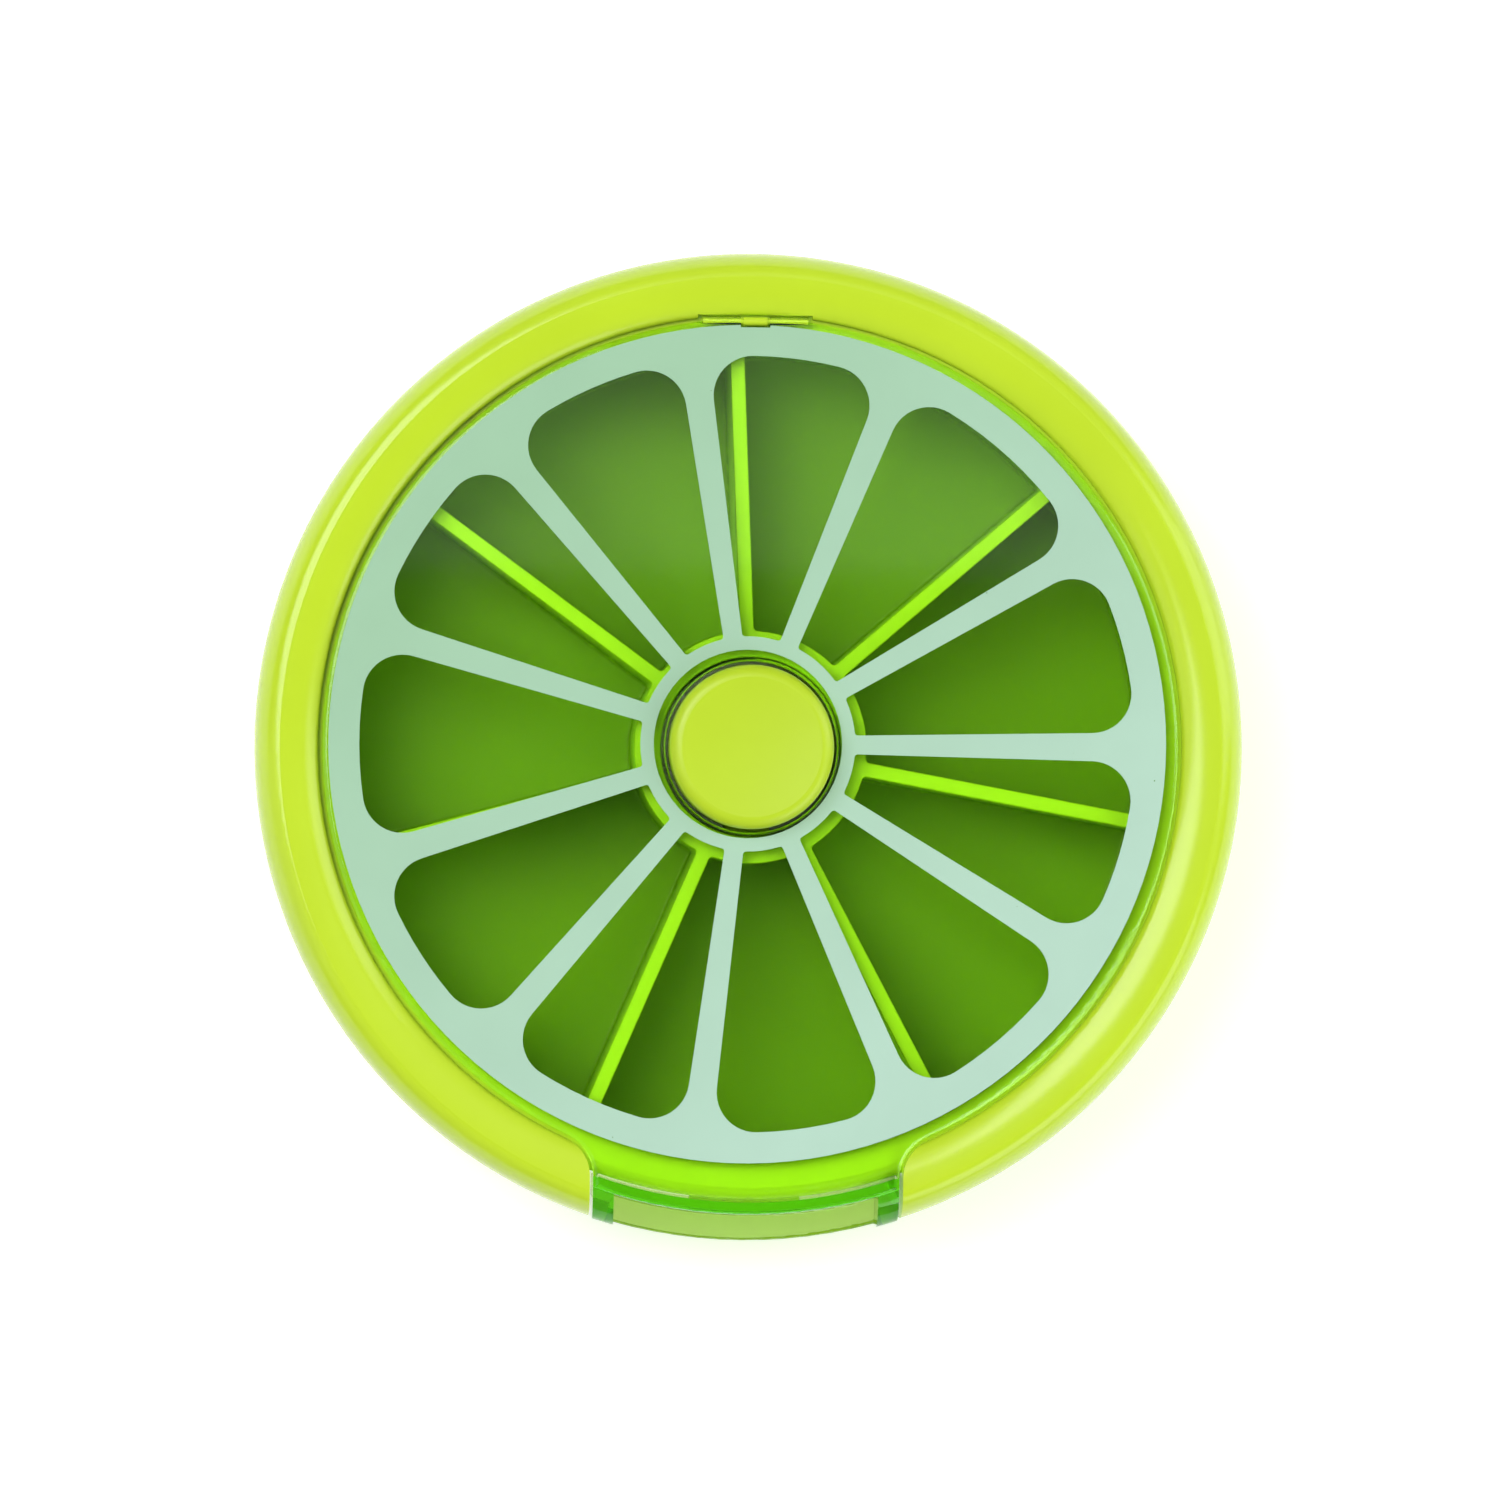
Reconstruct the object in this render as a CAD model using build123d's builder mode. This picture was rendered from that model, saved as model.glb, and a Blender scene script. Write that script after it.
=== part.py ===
from build123d import *
import math
import os

os.makedirs("parts", exist_ok=True)

# Weekly pill organizer: a round case with a hinged clear lid, a seven-cell tray that turns,
# and a push button that turns the tray one cell on at each press.
# Millimetres, +Z up. The origin is the middle of the underside. The hinge is at +Y, the thumb notch at -Y.

# Case
case_radius = 45.0
case_height = 20.0
case_wall = 1.6
rim_width = 5.8
crown_inset = 2.3
shoulder_drop = 4.5
rim_edge_drop = 1.1
parting_height = 11.0
floor_thickness = 2.0
base_round_width = 2.4
base_round_height = 3.6
foot_width = 5.0
foot_recess = 0.5
ledge_width = 1.5
ledge_thickness = 1.6
cup_wall = 1.2
case_fit = 0.2
tongue_height = 2.0
tongue_root = 2.0
tongue_wall = 1.0
tongue_gap = 0.1
tongue_end_angle = 1.0

# Thumb notch
notch_width = 28.4
notch_wall_depth = 3.95
notch_corner = 3.7
notch_edge_round = 1.1
mouth_round = 1.2
latch_width = 10.0
latch_depth = 0.25
latch_height = 0.8
latch_drop = 4.0
latch_bite = 0.1
latch_gap = 0.1

# Lid
lid_gap = 0.3
lid_thickness = 1.2
lid_drop = 0.2
lid_edge_round = 0.5
lid_seat_gap = 0.1
skirt_gap = 0.25
skirt_wall = 1.1
tab_spare_angle = 2.0
lip_height = 11.6
lip_thickness = 1.3
lip_fall = 0.6
gusset_width = 1.9
gusset_foot = 3.4
collar_wall = 0.8
collar_depth = 0.4
button_gap = 0.32

# Printed slice
print_thickness = 0.12
print_edge = 0.9
print_shift_x = -0.3
print_shift_y = 0.28
print_hole_gap = 0.78
print_hub_width = 1.2
print_band = 2.8
spoke_root_half = 0.85
spoke_tip_half = 1.35
window_corner = 3.6
window_root_corner = 0.3
spoke_angles = (-162.4, -130.4, -96.9, -65.9, -31.9, 0.1, 30.6, 68.1, 98.6, 130.6, 163.6)

# Hinge
hinge_inset = 0.6
knuckle_radius = 0.5
knuckle_width = 3.5
ear_width = 2.2
ear_foot = 0.4
hinge_end_gap = 0.2
hinge_back_gap = 0.1
hinge_pin_radius = 0.25
pin_running_gap = 0.05
pin_press = 0.01

# Tray
cell_count = 7
tray_gap = 0.5
tray_wall = 1.2
tray_lift = 2.6
tray_floor = 1.2
tray_headroom = 0.6
divider_width = 1.3
divider_angle = 92.5
cell_corner = 0.4
cell_scoop = 0.35
tray_edge_round = 0.12
hub_radius = 10.56
hub_bore_radius = 9.25
hub_mouth_radius = 8.2
detent_inset = 12.2
detent_depth = 0.7
detent_width = 2.4

# Bearing of the tray
bearing_radius = 9.7
bearing_wall = 1.0
bearing_height = 4.5
running_gap = 0.1
hook_reach = 0.6
hook_span = 30.0
hook_height = 0.8
hook_gap = 0.2

# Drive hub, pawls and ratchet
sleeve_bore_radius = 5.2
sleeve_wall = 1.4
flange_radius = 8.4
flange_thickness = 1.5
tooth_depth = 0.95
teeth_per_cell = 3
tooth_height = 2.6
tooth_fill = 0.93
web_height = 9.6
web_thickness = 1.1
clip_thickness = 0.6
clip_width = 1.7
clip_groove = 0.42
clip_gap = 0.05
clip_opening = 40.0
sleeve_above_clip = 0.9
pawl_wall = 0.5
pawl_tip_wall = 0.35
pawl_lag = 0.8
pawl_height = 1.8
pawl_count = 3
pawl_reach = 40.0
pawl_tip_gap = 0.25
pawl_press = 0.01

# Button, stem and post
button_radius = 7.45
button_top = 22.4
button_crown = 1.4
button_wall = 1.2
button_round = 1.1
button_dish = 0.3
button_skirt = 4.8
press_stroke = 2.6
stem_wall = 0.8
stem_gap = 0.2
stem_flange = 1.4
stem_press = 0.02
lug_radius = 0.9
lug_length = 1.2
lug_gap = 0.1
lug_height = 9.0
post_radius = 2.4
post_height = 15.4
post_gap = 0.1
key_width = 1.2
key_reach = 0.6
key_gap = 0.1
guide_length = 2.3
stem_floor_gap = 0.4
washer_radius = 3.6
washer_thickness = 0.6
stop_gap = 0.05

# Return spring
wire_radius = 0.25
spring_turns = 6

# Detent spring
leaf_width = 4.0
leaf_thickness = 0.3
leaf_foot = 6.0
leaf_run = 9.0
leaf_lift = 0.35
leaf_bend = 1.0
leaf_end = 5.85
stake_radius = 0.8
stake_height = 0.9

# Screws
screw_radius = 1.0
screw_pilot_radius = 0.85
screw_hole_gap = 0.2
screw_head_radius = 1.8
screw_head_height = 1.3
screw_head_flat = 0.72
screw_head_bulge = 1.44
screw_head_swell = 1.14
screw_head_depth = 1.6
screw_head_gap = 0.3
case_screw_length = 8.5
stop_screw_length = 6.0
pilot_spare = 0.6
case_screw_count = 4
boss_radius = 2.0
boss_seat = 4.6
drive_slot = 0.6
drive_length = 2.2
drive_depth = 0.8

# Worked out from the sizes above
rim_inner = case_radius - rim_width
crown_radius = case_radius - crown_inset
shoulder_height = case_height - shoulder_drop
rim_edge = case_height - rim_edge_drop
cup_inner = rim_inner - ledge_width
cup_outer = cup_inner + cup_wall
shell_inner = case_radius - case_wall
base_radius = case_radius - base_round_width
lid_top = case_height - lid_drop
lid_bottom = lid_top - lid_thickness
ledge_top = lid_bottom - lid_seat_gap
ledge_bottom = ledge_top - ledge_thickness
lid_radius = rim_inner - lid_gap
notch_half = notch_width / 2
notch_radius = case_radius - notch_wall_depth
notch_span = 2 * math.degrees(math.asin((notch_half + case_wall) / cup_outer))
mouth_x = notch_half + mouth_round
mouth_y = -math.sqrt((case_radius - mouth_round) ** 2 - mouth_x ** 2)
mouth_angle = math.degrees(math.atan2(mouth_y, mouth_x))
skirt_inner = notch_radius + skirt_gap
skirt_outer = skirt_inner + skirt_wall
tab_half = notch_half - lid_gap
hinge_y = rim_inner - hinge_inset
hinge_z = lid_top - knuckle_radius
ear_half = ear_width / 2
knuckle_start = ear_half + hinge_end_gap
knuckle_end = knuckle_start + knuckle_width
pocket_half = knuckle_end + 2 * hinge_end_gap
pocket_front = hinge_y - knuckle_radius - hinge_back_gap
pocket_back = hinge_y + knuckle_radius + hinge_back_gap
pocket_floor = ledge_top - hinge_back_gap
button_hole = button_radius + button_gap
collar_radius = button_hole + collar_wall
print_radius = lid_radius - print_edge
print_hole_radius = button_hole + print_hole_gap
print_hub_radius = print_hole_radius + print_hub_width
tray_radius = cup_inner - tray_gap
tray_bottom = floor_thickness + tray_lift
cell_bottom = tray_bottom + tray_floor
tray_top = lid_bottom - tray_headroom
cell_radius = tray_radius - tray_wall
detent_radius = tray_radius - detent_inset
cell_pitch = 360 / cell_count
bearing_top = floor_thickness + bearing_height
sleeve_radius = sleeve_bore_radius + sleeve_wall
flange_bottom = floor_thickness + running_gap
flange_top = flange_bottom + flange_thickness
hook_bottom = flange_top + hook_gap
tooth_count = cell_count * teeth_per_cell
tooth_pitch = 360 / tooth_count
tooth_radius = hub_bore_radius - tooth_depth
web_top = web_height + web_thickness
clip_bottom = web_top + hook_gap
clip_top = clip_bottom + clip_thickness
groove_radius = sleeve_radius - clip_groove
sleeve_top = clip_top + sleeve_above_clip
stem_radius = sleeve_bore_radius - stem_gap
stem_bore_radius = stem_radius - stem_wall
stem_bottom = floor_thickness + press_stroke + stem_floor_gap
spring_radius = (post_radius + key_reach + stem_bore_radius) / 2
guide_bore_radius = post_radius + post_gap
washer_bottom = post_height
guide_top = washer_bottom - stop_gap
guide_bottom = guide_top - guide_length
washer_top = washer_bottom + washer_thickness
stem_top = button_top - button_crown
cap_bore_radius = button_radius - button_wall
slot_radius = lug_radius + lug_gap
slot_pitch = press_stroke * cell_count
boss_pitch = (cup_outer + shell_inner) / 2


def radial_plane(angle):
    """Upright plane through the Z axis, whose local x points outwards at this angle."""
    turn = math.radians(angle)
    outward = (math.cos(turn), math.sin(turn), 0)
    return Plane(origin=(0, 0, 0), x_dir=outward, z_dir=(math.sin(turn), -math.cos(turn), 0))


def facing_plane(radius, angle):
    """Upright plane at this radius and angle, facing outwards, with its local y upwards."""
    turn = math.radians(angle)
    outward = (math.cos(turn), math.sin(turn), 0)
    return Plane(
        origin=(radius * math.cos(turn), radius * math.sin(turn), 0),
        x_dir=(-math.sin(turn), math.cos(turn), 0),
        z_dir=outward,
    )


def polar(radius, angle):
    """Point at this radius and angle, in degrees."""
    return (radius * math.cos(math.radians(angle)), radius * math.sin(math.radians(angle)))


def crown_lines():
    """Outer line of the rim, from the lid's ledge over the crown down to the parting line."""
    Polyline((cup_inner, ledge_top), (rim_inner, ledge_top), (rim_inner, rim_edge))
    EllipticalCenterArc(
        (crown_radius, rim_edge), crown_radius - rim_inner, rim_edge_drop, start_angle=90, arc_size=90
    )
    EllipticalCenterArc(
        (crown_radius, shoulder_height), crown_inset, shoulder_drop, start_angle=0, arc_size=90
    )
    Line((case_radius, shoulder_height), (case_radius, parting_height))


# Space outside the notch's wall, with the round of the shelf's edge, cut from both halves of the case
with BuildPart() as notch_void:
    with BuildSketch(radial_plane(-90 - notch_span / 2)) as void_section:
        with BuildLine():
            Polyline((notch_radius, -case_wall), (notch_radius, ledge_top - notch_edge_round))
            RadiusArc(
                (notch_radius, ledge_top - notch_edge_round),
                (notch_radius - notch_edge_round, ledge_top),
                -notch_edge_round,
            )
            Polyline(
                (notch_radius - notch_edge_round, ledge_top),
                (case_radius + case_wall, ledge_top),
                (case_radius + case_wall, -case_wall),
                (notch_radius, -case_wall),
            )
        make_face()
    revolve(axis=Axis.Z, revolution_arc=notch_span)
    with BuildSketch(Plane.XY.offset(-case_wall)) as void_width:
        with Locations((0, -case_radius)):
            Rectangle(notch_width, case_radius)
    extrude(amount=2 * case_height, mode=Mode.INTERSECT)

# Upper half of the case: hollow rim, lid ledge and the cup wall that the tray turns in
with BuildPart() as upper_case:
    with BuildSketch(Plane.XZ) as rim_section:
        with BuildLine():
            crown_lines()
            Polyline(
                (case_radius, parting_height), (shell_inner, parting_height), (shell_inner, shoulder_height)
            )
            EllipticalCenterArc(
                (crown_radius, shoulder_height),
                crown_inset - case_wall,
                shoulder_drop - case_wall,
                start_angle=0,
                arc_size=90,
            )
            Polyline(
                (crown_radius, case_height - case_wall),
                (rim_inner + case_wall, case_height - case_wall),
                (rim_inner + case_wall, ledge_bottom),
                (cup_outer, ledge_bottom),
                (cup_outer, floor_thickness),
                (cup_inner, floor_thickness),
                (cup_inner, ledge_top),
            )
        make_face()
    revolve(axis=Axis.Z)
    # solid stretch of rim behind and beside the notch
    with BuildSketch(radial_plane(-90 - notch_span / 2)) as notch_block:
        with BuildLine():
            crown_lines()
            Polyline((case_radius, parting_height), (cup_inner, parting_height), (cup_inner, ledge_top))
        make_face()
    revolve(axis=Axis.Z, revolution_arc=notch_span)
    with BuildSketch(Plane.XY.offset(boss_seat)) as screw_bosses:
        with PolarLocations(boss_pitch, case_screw_count, start_angle=45):
            Circle(boss_radius)
    extrude(amount=ledge_bottom - boss_seat + case_wall / 2)
    with BuildSketch(Plane.XY.offset(boss_seat)) as screw_pilots:
        with PolarLocations(boss_pitch, case_screw_count, start_angle=45):
            Circle(screw_pilot_radius)
    extrude(amount=screw_head_depth + case_screw_length + pilot_spare - boss_seat, mode=Mode.SUBTRACT)
    # the lid's tab fills this slot in the crown
    with BuildSketch(Plane.XY.offset(ledge_top)) as tab_slot:
        Circle(rim_inner)
        with Locations((0, -case_radius)):
            Rectangle(notch_width, case_radius)
        fillet(tab_slot.vertices().filter_by_position(Axis.Y, -rim_inner, -1), notch_corner)
    extrude(amount=case_height, mode=Mode.SUBTRACT)
    add(notch_void.part, mode=Mode.SUBTRACT)
    # catch ridge under the shelf, which the bead on the lid's skirt snaps under
    latch_span = 2 * math.degrees(math.asin(latch_width / 2 / notch_radius))
    latch_top = ledge_top - latch_drop + latch_height
    with BuildSketch(radial_plane(-90 - latch_span / 2)) as ridge_section:
        with BuildLine():
            Polyline(
                (notch_radius - latch_depth, latch_top - latch_height),
                (notch_radius, latch_top - latch_height),
                (notch_radius + latch_depth, latch_top - latch_height / 2),
                (notch_radius, latch_top),
                (notch_radius - latch_depth, latch_top),
                close=True,
            )
        make_face()
    revolve(axis=Axis.Z, revolution_arc=latch_span)
    # hinge pocket, and the ear that holds the pin in its middle
    with BuildSketch(Plane.XY.offset(pocket_floor)) as pocket_plan:
        with Locations((0, pocket_front)):
            Rectangle(2 * pocket_half, pocket_back - pocket_front, align=(Align.CENTER, Align.MIN))
    extrude(amount=case_height, mode=Mode.SUBTRACT)
    with BuildSketch(Plane.YZ.offset(-ear_half)) as ear_section:
        with Locations((hinge_y, hinge_z)):
            Circle(knuckle_radius - hinge_back_gap)
        with Locations((hinge_y, pocket_floor - ear_foot)):
            Rectangle(
                2 * (knuckle_radius - hinge_back_gap), hinge_z - pocket_floor + ear_foot,
                align=(Align.CENTER, Align.MIN),
            )
        with Locations((hinge_y, hinge_z)):
            Circle(hinge_pin_radius - pin_press, mode=Mode.SUBTRACT)
    extrude(amount=ear_width)
upper_case.part.label = "upper_case"
export_step(upper_case.part, "parts/upper_case.step")


def bowl_lines():
    """Underside of the case, from the axis over the foot ring up to the parting line."""
    Polyline(
        (0, foot_recess),
        (base_radius - foot_width, foot_recess),
        (base_radius - foot_width + foot_recess, 0),
        (base_radius, 0),
    )
    EllipticalCenterArc(
        (base_radius, base_round_height), base_round_width, base_round_height, start_angle=270, arc_size=90
    )
    Line((case_radius, base_round_height), (case_radius, parting_height))


# Lower half of the case: floor, outer wall with its joint tongue, screw sockets, post and bearing
with BuildPart() as lower_case:
    with BuildSketch(radial_plane(-90 + notch_span / 2)) as bowl_section:
        with BuildLine():
            bowl_lines()
            Polyline(
                (case_radius, parting_height),
                (shell_inner, parting_height),
                (shell_inner, base_round_height),
                (base_radius - case_wall / 2, floor_thickness),
                (0, floor_thickness),
                (0, foot_recess),
            )
        make_face()
    revolve(axis=Axis.Z, revolution_arc=360 - notch_span)
    # behind the notch the wall is solid
    with BuildSketch(radial_plane(-90 - notch_span / 2)) as wall_block:
        with BuildLine():
            bowl_lines()
            Polyline(
                (case_radius, parting_height),
                (cup_outer + case_fit, parting_height),
                (cup_outer + case_fit, floor_thickness),
                (0, floor_thickness),
                (0, foot_recess),
            )
        make_face()
    revolve(axis=Axis.Z, revolution_arc=notch_span)
    # tongue that centres the upper half, left out where the notch block stands
    tongue_outer = shell_inner - tongue_gap
    with BuildSketch(radial_plane(-90 + notch_span / 2 + tongue_end_angle)) as tongue_section:
        with BuildLine():
            Polyline(
                (tongue_outer - tongue_wall, parting_height - tongue_root),
                (shell_inner + tongue_gap, parting_height - tongue_root),
                (shell_inner + tongue_gap, parting_height),
                (tongue_outer, parting_height),
                (tongue_outer, parting_height + tongue_height),
                (tongue_outer - tongue_wall, parting_height + tongue_height),
                close=True,
            )
        make_face()
    revolve(axis=Axis.Z, revolution_arc=360 - notch_span - 2 * tongue_end_angle)
    with BuildSketch(Plane.XY.offset(boss_seat)) as tongue_reliefs:
        with PolarLocations(boss_pitch, case_screw_count, start_angle=45):
            Circle(boss_radius + case_fit)
    extrude(amount=case_height, mode=Mode.SUBTRACT)
    # rib round the foot of the upper half's cup wall, and the screw sockets
    with BuildSketch(Plane.XY.offset(floor_thickness / 2)) as rib_plan:
        Circle(cup_outer + case_fit + cup_wall)
        with PolarLocations(boss_pitch, case_screw_count, start_angle=45):
            Circle(boss_radius)
        Circle(cup_outer + case_fit, mode=Mode.SUBTRACT)
    extrude(amount=boss_seat - floor_thickness / 2)
    add(notch_void.part, mode=Mode.SUBTRACT)
    # below the lip the notch's mouth has rounded corners, for the thumb
    with BuildSketch(Plane.XY.offset(-case_wall)) as mouth_corners:
        with BuildLine():
            CenterArc((mouth_x, mouth_y), mouth_round, start_angle=180, arc_size=180 + mouth_angle)
            Polyline(
                polar(case_radius, mouth_angle),
                polar(case_radius + case_wall, mouth_angle),
                (notch_half, -case_radius - case_wall),
                (notch_half, mouth_y),
            )
        make_face()
        mirror(about=Plane.YZ)
    extrude(amount=parting_height + 2 * case_wall, mode=Mode.SUBTRACT)
    with BuildSketch(Plane.XY) as head_wells:
        with PolarLocations(boss_pitch, case_screw_count, start_angle=45):
            Circle(screw_head_radius + screw_head_gap)
    extrude(amount=screw_head_depth, mode=Mode.SUBTRACT)
    with BuildSketch(Plane.XY) as screw_holes:
        with PolarLocations(boss_pitch, case_screw_count, start_angle=45):
            Circle(screw_radius + screw_hole_gap)
    extrude(amount=boss_seat, mode=Mode.SUBTRACT)
    # keyed centre post
    with BuildSketch(Plane.XY.offset(floor_thickness / 2)) as post_plan:
        Circle(post_radius)
        Rectangle(2 * (post_radius + key_reach), key_width)
    extrude(amount=post_height - floor_thickness / 2)
    with BuildSketch(Plane.XY.offset(post_height)) as post_pilot:
        Circle(screw_pilot_radius)
    extrude(amount=-(stop_screw_length + pilot_spare), mode=Mode.SUBTRACT)
    # bearing collar that the tray turns on, with hooks over the drive hub's flange
    with BuildSketch(Plane.XY.offset(floor_thickness / 2)) as collar_plan:
        Circle(bearing_radius)
        Circle(bearing_radius - bearing_wall, mode=Mode.SUBTRACT)
    extrude(amount=bearing_top - floor_thickness / 2)
    for hook in range(pawl_count):
        hook_inner = bearing_radius - bearing_wall - hook_reach
        with BuildSketch(radial_plane(hook * 360 / pawl_count - hook_span / 2)) as hook_section:
            with BuildLine():
                Polyline(
                    (bearing_radius - bearing_wall / 2, hook_bottom),
                    (hook_inner, hook_bottom),
                    (hook_inner, hook_bottom + hook_height / 2),
                    (bearing_radius - bearing_wall, hook_bottom + 2 * hook_height),
                    (bearing_radius - bearing_wall / 2, hook_bottom + 2 * hook_height),
                    close=True,
                )
            make_face()
        revolve(axis=Axis.Z, revolution_arc=hook_span)
    # stakes of the detent spring
    stake_y = leaf_run + leaf_foot / 2
    with BuildSketch(Plane.XY.offset(floor_thickness)) as stake_plan:
        with Locations((detent_radius, -stake_y + leaf_foot / 4), (detent_radius, -stake_y - leaf_foot / 4)):
            Circle(stake_radius)
    extrude(amount=stake_height)
lower_case.part.label = "lower_case"
export_step(lower_case.part, "parts/lower_case.step")


def screw(length):
    """Self-tapping screw with a cross recess: its head's seat is at z = 0 and its tip points down."""
    with BuildPart() as model:
        with BuildSketch(Plane.XZ) as section:
            with BuildLine():
                Polyline(
                    (0, -length),
                    (screw_radius / 2, -length),
                    (screw_radius, -length + screw_radius),
                    (screw_radius, 0),
                    (screw_head_radius, 0),
                    (screw_head_radius, screw_head_height / 2),
                )
                ThreePointArc(
                    (screw_head_radius, screw_head_height / 2),
                    (screw_head_bulge, screw_head_swell),
                    (screw_head_flat, screw_head_height),
                )
                Polyline((screw_head_flat, screw_head_height), (0, screw_head_height), (0, -length))
            make_face()
        revolve(axis=Axis.Z)
        with BuildSketch(Plane.XY.offset(screw_head_height)) as cross:
            Rectangle(drive_length, drive_slot)
            Rectangle(drive_slot, drive_length)
        extrude(amount=-drive_depth, mode=Mode.SUBTRACT)
    return model.part


# Four screws from below, as one group of solids
upside_down = screw(case_screw_length).rotate(Axis.X, 180).translate((0, 0, screw_head_depth))
with BuildPart() as case_screws:
    with PolarLocations(boss_pitch, case_screw_count, start_angle=45):
        add(upside_down)
case_screws.part.label = "case_screws"
export_step(case_screws.part, "parts/case_screws.step")

# Pin of the lid's hinge, held by the case's ear
with BuildPart() as hinge_pin:
    with BuildSketch(Plane.YZ.offset(-knuckle_end)) as pin_section:
        with Locations((hinge_y, hinge_z)):
            Circle(hinge_pin_radius)
    extrude(amount=2 * knuckle_end)
    chamfer(hinge_pin.edges().filter_by(GeomType.CIRCLE), hinge_pin_radius / 4)
hinge_pin.part.label = "hinge_pin"
export_step(hinge_pin.part, "parts/hinge_pin.step")

# Thumb tab of the lid: a skirt outside the notch's wall, with a lip that carries the rim's outline on
tab_span = 2 * (math.degrees(math.asin(tab_half / notch_radius)) + tab_spare_angle)
lip_bottom = lip_height - lip_fall
lip_top = lip_bottom + lip_thickness
with BuildPart() as lid_tab:
    with BuildSketch(radial_plane(-90 - tab_span / 2)) as lip_section:
        with BuildLine():
            Polyline(
                (skirt_inner, lid_bottom + lid_thickness / 2),
                (skirt_inner, lip_height),
                (case_radius - lid_edge_round, lip_bottom),
            )
            RadiusArc(
                (case_radius - lid_edge_round, lip_bottom),
                (case_radius, lip_bottom + lid_edge_round),
                -lid_edge_round,
            )
            Line((case_radius, lip_bottom + lid_edge_round), (case_radius, lip_top - lid_edge_round))
            RadiusArc(
                (case_radius, lip_top - lid_edge_round),
                (case_radius - lid_edge_round, lip_top),
                -lid_edge_round,
            )
            Line(
                (case_radius - lid_edge_round, lip_top),
                (skirt_outer + lid_edge_round, lip_height + lip_thickness),
            )
            RadiusArc(
                (skirt_outer + lid_edge_round, lip_height + lip_thickness),
                (skirt_outer, lip_height + lip_thickness + lid_edge_round),
                lid_edge_round,
            )
            Polyline(
                (skirt_outer, lip_height + lip_thickness + lid_edge_round),
                (skirt_outer, lid_bottom + lid_thickness / 2),
                (skirt_inner, lid_bottom + lid_thickness / 2),
            )
        make_face()
    revolve(axis=Axis.Z, revolution_arc=tab_span)
    # bead that snaps under the case's ridge
    bead_top = latch_top - latch_height - latch_gap
    bead_reach = skirt_inner - notch_radius - latch_depth + latch_bite
    with BuildSketch(radial_plane(-90 - latch_span / 2)) as bead_section:
        with BuildLine():
            Polyline(
                (skirt_inner + skirt_wall / 2, bead_top - latch_height),
                (skirt_inner, bead_top - latch_height),
                (skirt_inner - bead_reach, bead_top - latch_height / 2),
                (skirt_inner, bead_top),
                (skirt_inner + skirt_wall / 2, bead_top),
                close=True,
            )
        make_face()
    revolve(axis=Axis.Z, revolution_arc=latch_span)
    with BuildSketch(Plane.XY) as tab_width:
        with Locations((0, -case_radius)):
            Rectangle(2 * tab_half, case_radius)
    extrude(amount=case_height, mode=Mode.INTERSECT)
with BuildPart() as lid_gussets:
    gusset_top = (skirt_outer - skirt_wall / 2, lid_top - lid_edge_round)
    gusset_end = (case_radius, lip_height + gusset_foot)
    gusset_shoulder = (
        crown_radius + crown_inset * math.cos(math.pi / 4),
        shoulder_height + shoulder_drop * math.sin(math.pi / 4) - lid_edge_round,
    )
    with BuildSketch(radial_plane(-90 - tab_span / 2)) as gusset_section:
        with BuildLine():
            ThreePointArc(gusset_top, gusset_shoulder, gusset_end)
            Polyline(
                gusset_end,
                (case_radius, lip_bottom + lip_thickness / 2),
                (skirt_outer - skirt_wall / 2, lip_height + lip_thickness / 2),
                gusset_top,
            )
        make_face()
    revolve(axis=Axis.Z, revolution_arc=tab_span)
    gusset_middle = tab_half - gusset_width / 2
    with BuildSketch(Plane.XY) as gusset_widths:
        with Locations((gusset_middle, -case_radius), (-gusset_middle, -case_radius)):
            Rectangle(gusset_width, case_radius)
    extrude(amount=case_height, mode=Mode.INTERSECT)

# Clear lid
with BuildPart() as lid:
    with BuildSketch(Plane.XY.offset(lid_bottom)) as lid_plan:
        with Locations((0, -case_radius)):
            Rectangle(2 * tab_half, 2 * case_radius)
        Circle(skirt_outer, mode=Mode.INTERSECT)
        Circle(lid_radius)
        fillet(lid_plan.vertices().filter_by_position(Axis.Y, -lid_radius, -1), notch_corner + lid_gap)
    extrude(amount=lid_thickness)
    fillet(lid.faces().sort_by(Axis.Z)[-1].outer_wire().edges(), lid_edge_round)
    with BuildSketch(Plane.XY.offset(lid_bottom - collar_depth)) as collar_plan:
        Circle(collar_radius)
    extrude(amount=collar_depth + lid_thickness / 2)
    with BuildSketch(Plane.XY.offset(lid_bottom - collar_depth)) as button_opening:
        Circle(button_hole)
    extrude(amount=case_height, mode=Mode.SUBTRACT)
    hole_edge = lid.edges().filter_by(GeomType.CIRCLE).filter_by(
        lambda e: abs(e.radius - button_hole) < 0.01 and abs(e.center().Z - lid_top) < 0.01
    )
    fillet(hole_edge, lid_edge_round / 2)
    add(lid_tab.part)
    add(lid_gussets.part)
    with BuildSketch(Plane.YZ.offset(-knuckle_end)) as knuckle_section:
        with Locations((hinge_y, hinge_z)):
            Circle(knuckle_radius)
    extrude(amount=2 * knuckle_end)
    with BuildSketch(Plane.XY.offset(hinge_z - 2 * knuckle_radius)) as ear_slot:
        with Locations((0, hinge_y - knuckle_radius)):
            Rectangle(2 * knuckle_start, case_radius, align=(Align.CENTER, Align.MIN))
    extrude(amount=case_height, mode=Mode.SUBTRACT)
    with BuildSketch(Plane.YZ.offset(-knuckle_end)) as pin_bore:
        with Locations((hinge_y, hinge_z)):
            Circle(hinge_pin_radius + pin_running_gap)
    extrude(amount=2 * knuckle_end, mode=Mode.SUBTRACT)
lid.part.label = "lid"
export_step(lid.part, "parts/lid.step")


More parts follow.
